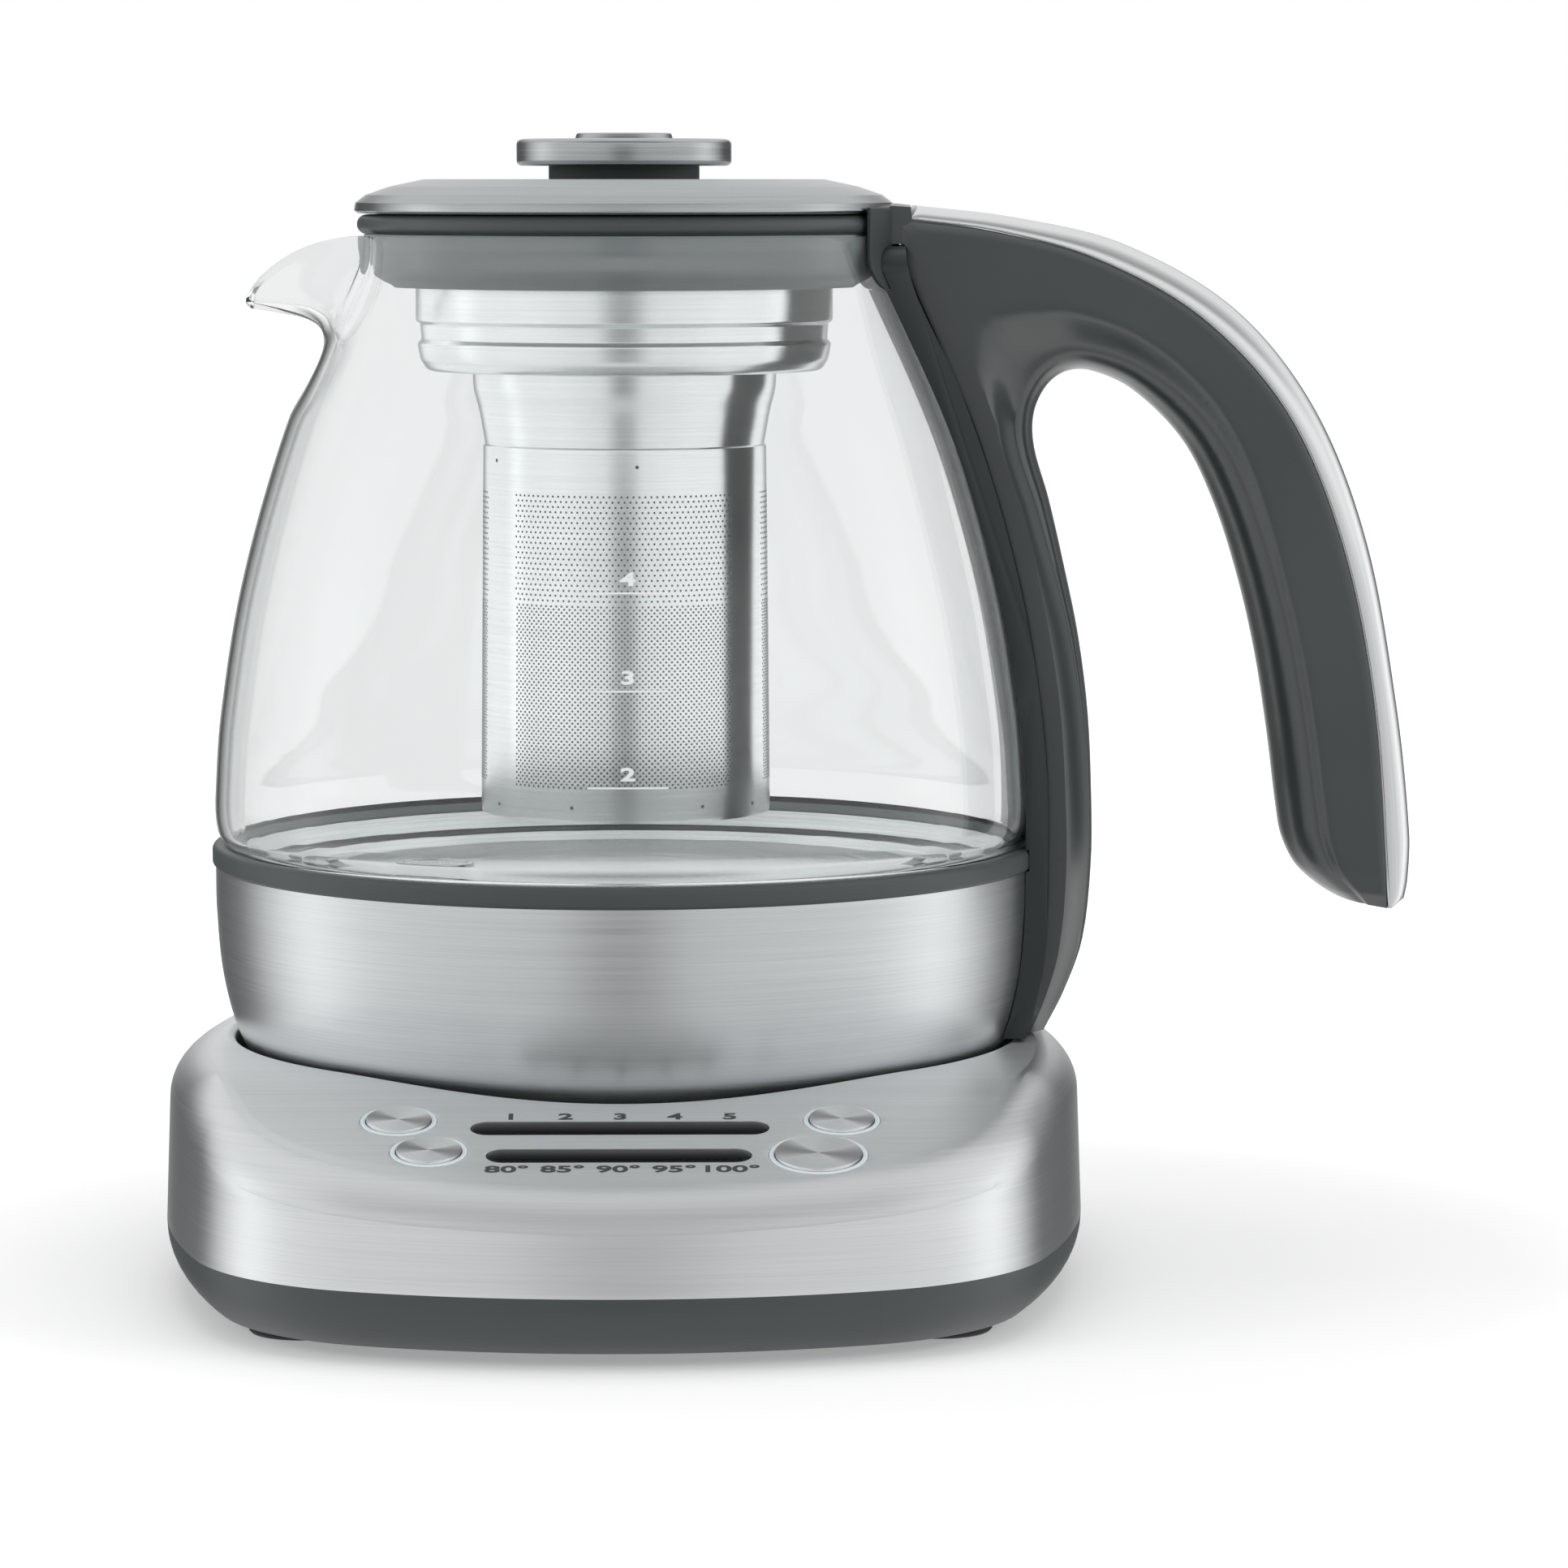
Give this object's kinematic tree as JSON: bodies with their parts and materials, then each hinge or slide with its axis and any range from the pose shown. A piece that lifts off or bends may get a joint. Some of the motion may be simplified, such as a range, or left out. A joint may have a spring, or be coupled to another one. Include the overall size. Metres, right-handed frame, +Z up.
{
  "type": "electric tea maker",
  "caption": "Glass jug kettle with a lift-out perforated tea infuser and a knobbed steel lid, standing on a powered steel base with push buttons and display windows",
  "frame": {"origin": "on the surface the base stands on, under the middle of the whole object", "axes": "+Z up, +X along the jug's handle, -Y towards the control panel"},
  "size_m": [0.2242, 0.195, 0.2038],
  "materials": {
    "steel_brushed": "brushed along the length",
    "steel_polished": "bright rolled stainless steel",
    "steel_pressed": "satin pressed stainless steel",
    "plastic_dark": "fine satin moulding",
    "silicone_dark": "soft matt",
    "silicone_grey": "soft matt",
    "rubber_black": "matt",
    "glass_clear": "clear and smooth",
    "window_dark": "smoked glossy lens",
    "button_steel": "turned and polished",
    "ring_light": "translucent light ring",
    "light_chip": "clear light chip",
    "circuit_board": "lacquered board",
    "component_black": "moulded case",
    "transformer_core": "laminated core and wound coil",
    "aluminium_cast": "as cast",
    "element_tube": "dull sheath",
    "brass_contact": "plated contacts",
    "screw_steel": "zinc plated"
  },
  "bodies": {
    "base": {"base_shell": "steel_brushed", "base_casing": "plastic_dark", "rubber_feet": "rubber_black", "cord_gland": "rubber_black", "well_tray": "plastic_dark", "tray_screws": "screw_steel", "socket_post": "plastic_dark", "socket_contacts": "brass_contact", "control_frame": "plastic_dark", "time_window": "window_dark", "heat_window": "window_dark", "time_lights": "light_chip", "heat_lights": "light_chip", "steep_ring": "ring_light", "temp_ring": "ring_light", "timer_ring": "ring_light", "start_ring": "ring_light", "control_board": "circuit_board", "board_screws": "screw_steel", "key_switches": "component_black", "power_board": "circuit_board", "relay": "component_black", "transformer": "transformer_core", "buzzer": "component_black"},
    "steep_key": {"steep_button": "button_steel"},
    "temp_key": {"temp_button": "button_steel"},
    "timer_key": {"timer_button": "button_steel"},
    "start_key": {"start_button": "button_steel"},
    "coupler": {"plug_housing": "plastic_dark", "plug_contacts": "brass_contact"},
    "jug": {"steel_skirt": "steel_brushed", "trim_band": "plastic_dark", "glass_seal": "silicone_grey", "glass_jug": "glass_clear", "heater_plate": "steel_pressed", "heat_spreader": "aluminium_cast", "heating_element": "element_tube", "sensor_cap": "steel_pressed", "thermal_cutout": "component_black", "jug_floor": "plastic_dark", "floor_screws": "screw_steel", "rim_clip": "plastic_dark", "handle_spine": "plastic_dark", "handle_grip": "plastic_dark", "handle_strip": "steel_brushed", "handle_screws": "screw_steel"},
    "infuser": {"infuser_rim": "silicone_dark", "infuser_seal": "silicone_grey", "infuser_collar": "steel_polished", "infuser_basket": "steel_polished", "basket_cup": "steel_polished"},
    "lid": {"lid_cover": "steel_polished", "lid_liner": "silicone_dark", "knob_stem": "plastic_dark", "lid_knob": "steel_polished", "knob_screw": "screw_steel"}
  },
  "joints": [
    {"name": "jug_lift", "type": "slide", "parent": "base", "child": "coupler", "axis": [0, 0, 1], "range_m": [0, 0.06]},
    {"name": "jug_swivel", "type": "hinge", "parent": "coupler", "child": "jug", "pos_m": [-0.0301, 0.0165, 0], "axis": [0, 0, 1], "continuous": true},
    {"name": "infuser_lift", "type": "slide", "parent": "jug", "child": "infuser", "axis": [0, 0, 1], "range_m": [0, 0.115]},
    {"name": "lid_lift", "type": "slide", "parent": "infuser", "child": "lid", "axis": [0, 0, 1], "range_m": [0, 0.04]},
    {"name": "steep_press", "type": "slide", "parent": "base", "child": "steep_key", "axis": [0, 0.2351, -0.972], "range_m": [0, 0.001], "stiffness_N_per_m": 600, "springref_m": -0.001},
    {"name": "temp_press", "type": "slide", "parent": "base", "child": "temp_key", "axis": [0, 0.2351, -0.972], "range_m": [0, 0.001], "stiffness_N_per_m": 600, "springref_m": -0.001},
    {"name": "timer_press", "type": "slide", "parent": "base", "child": "timer_key", "axis": [0, 0.2351, -0.972], "range_m": [0, 0.001], "stiffness_N_per_m": 600, "springref_m": -0.001},
    {"name": "start_press", "type": "slide", "parent": "base", "child": "start_key", "axis": [0, 0.2351, -0.972], "range_m": [0, 0.001], "stiffness_N_per_m": 600, "springref_m": -0.001}
  ]
}
